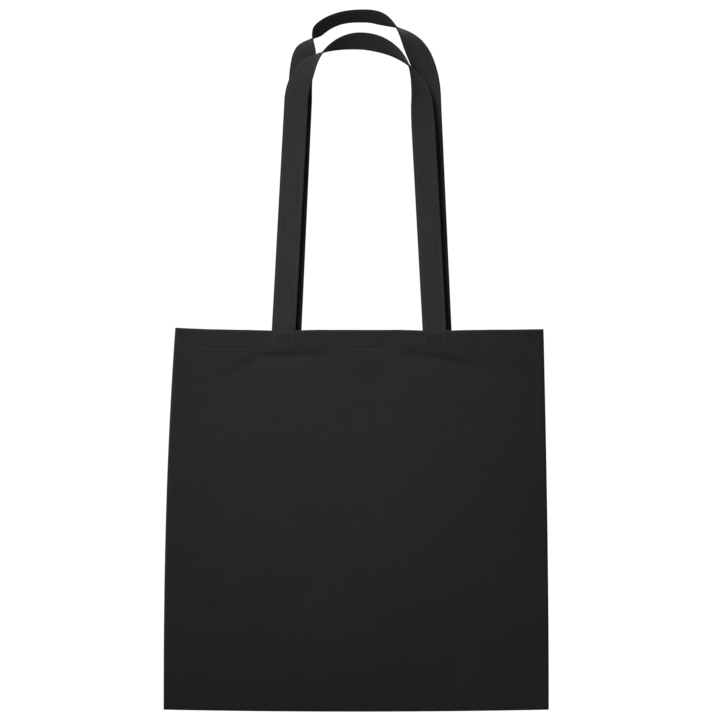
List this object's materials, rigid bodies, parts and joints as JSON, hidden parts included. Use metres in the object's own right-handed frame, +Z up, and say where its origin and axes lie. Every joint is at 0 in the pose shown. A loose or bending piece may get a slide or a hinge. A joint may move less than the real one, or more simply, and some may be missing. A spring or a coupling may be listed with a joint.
{
  "type": "canvas tote bag",
  "caption": "Flat black cotton canvas tote bag with a hemmed open mouth and long sewn shoulder straps that fold down over the rim.",
  "frame": {"origin": "the point above the open mouth where a hook or a hand holds the straps, just under the top of the front strap, midway between front and back", "axes": "+Z up, the way the mouth opens; +X along the bag's width; the front panel faces -Y"},
  "size_m": [0.404, 0.0432, 0.737],
  "materials": {
    "canvas": "plain-woven black cotton canvas, matt, with a faint nap",
    "strap_cloth": "folded and edge-stitched black cotton strap, matt",
    "thread": "black spun sewing thread with a slight sheen"
  },
  "bodies": {
    "bag": {"front_panel": "canvas", "back_panel": "canvas", "front_hem": "canvas", "back_hem": "canvas", "left_seam": "canvas", "right_seam": "canvas", "bottom_seam": "canvas", "left_overlock": "thread", "right_overlock": "thread", "bottom_overlock": "thread", "front_hem_stitching": "thread", "back_hem_stitching": "thread", "front_left_tail": "strap_cloth", "front_right_tail": "strap_cloth", "back_left_tail": "strap_cloth", "back_right_tail": "strap_cloth", "front_left_box_stitch": "thread", "front_right_box_stitch": "thread", "back_left_box_stitch": "thread", "back_right_box_stitch": "thread"},
    "front_strap": {"front_handle": "strap_cloth", "front_handle_stitching": "thread"},
    "back_strap": {"back_handle": "strap_cloth", "back_handle_stitching": "thread"}
  },
  "joints": [
    {"name": "front_strap_fold", "type": "hinge", "parent": "bag", "child": "front_strap", "pos_m": [0, -0.011, -0.2895], "axis": [1, 0, 0], "range_deg": [0, 175]},
    {"name": "back_strap_fold", "type": "hinge", "parent": "bag", "child": "back_strap", "pos_m": [0, 0.011, -0.2895], "axis": [-1, 0, 0], "range_deg": [0, 175]}
  ]
}
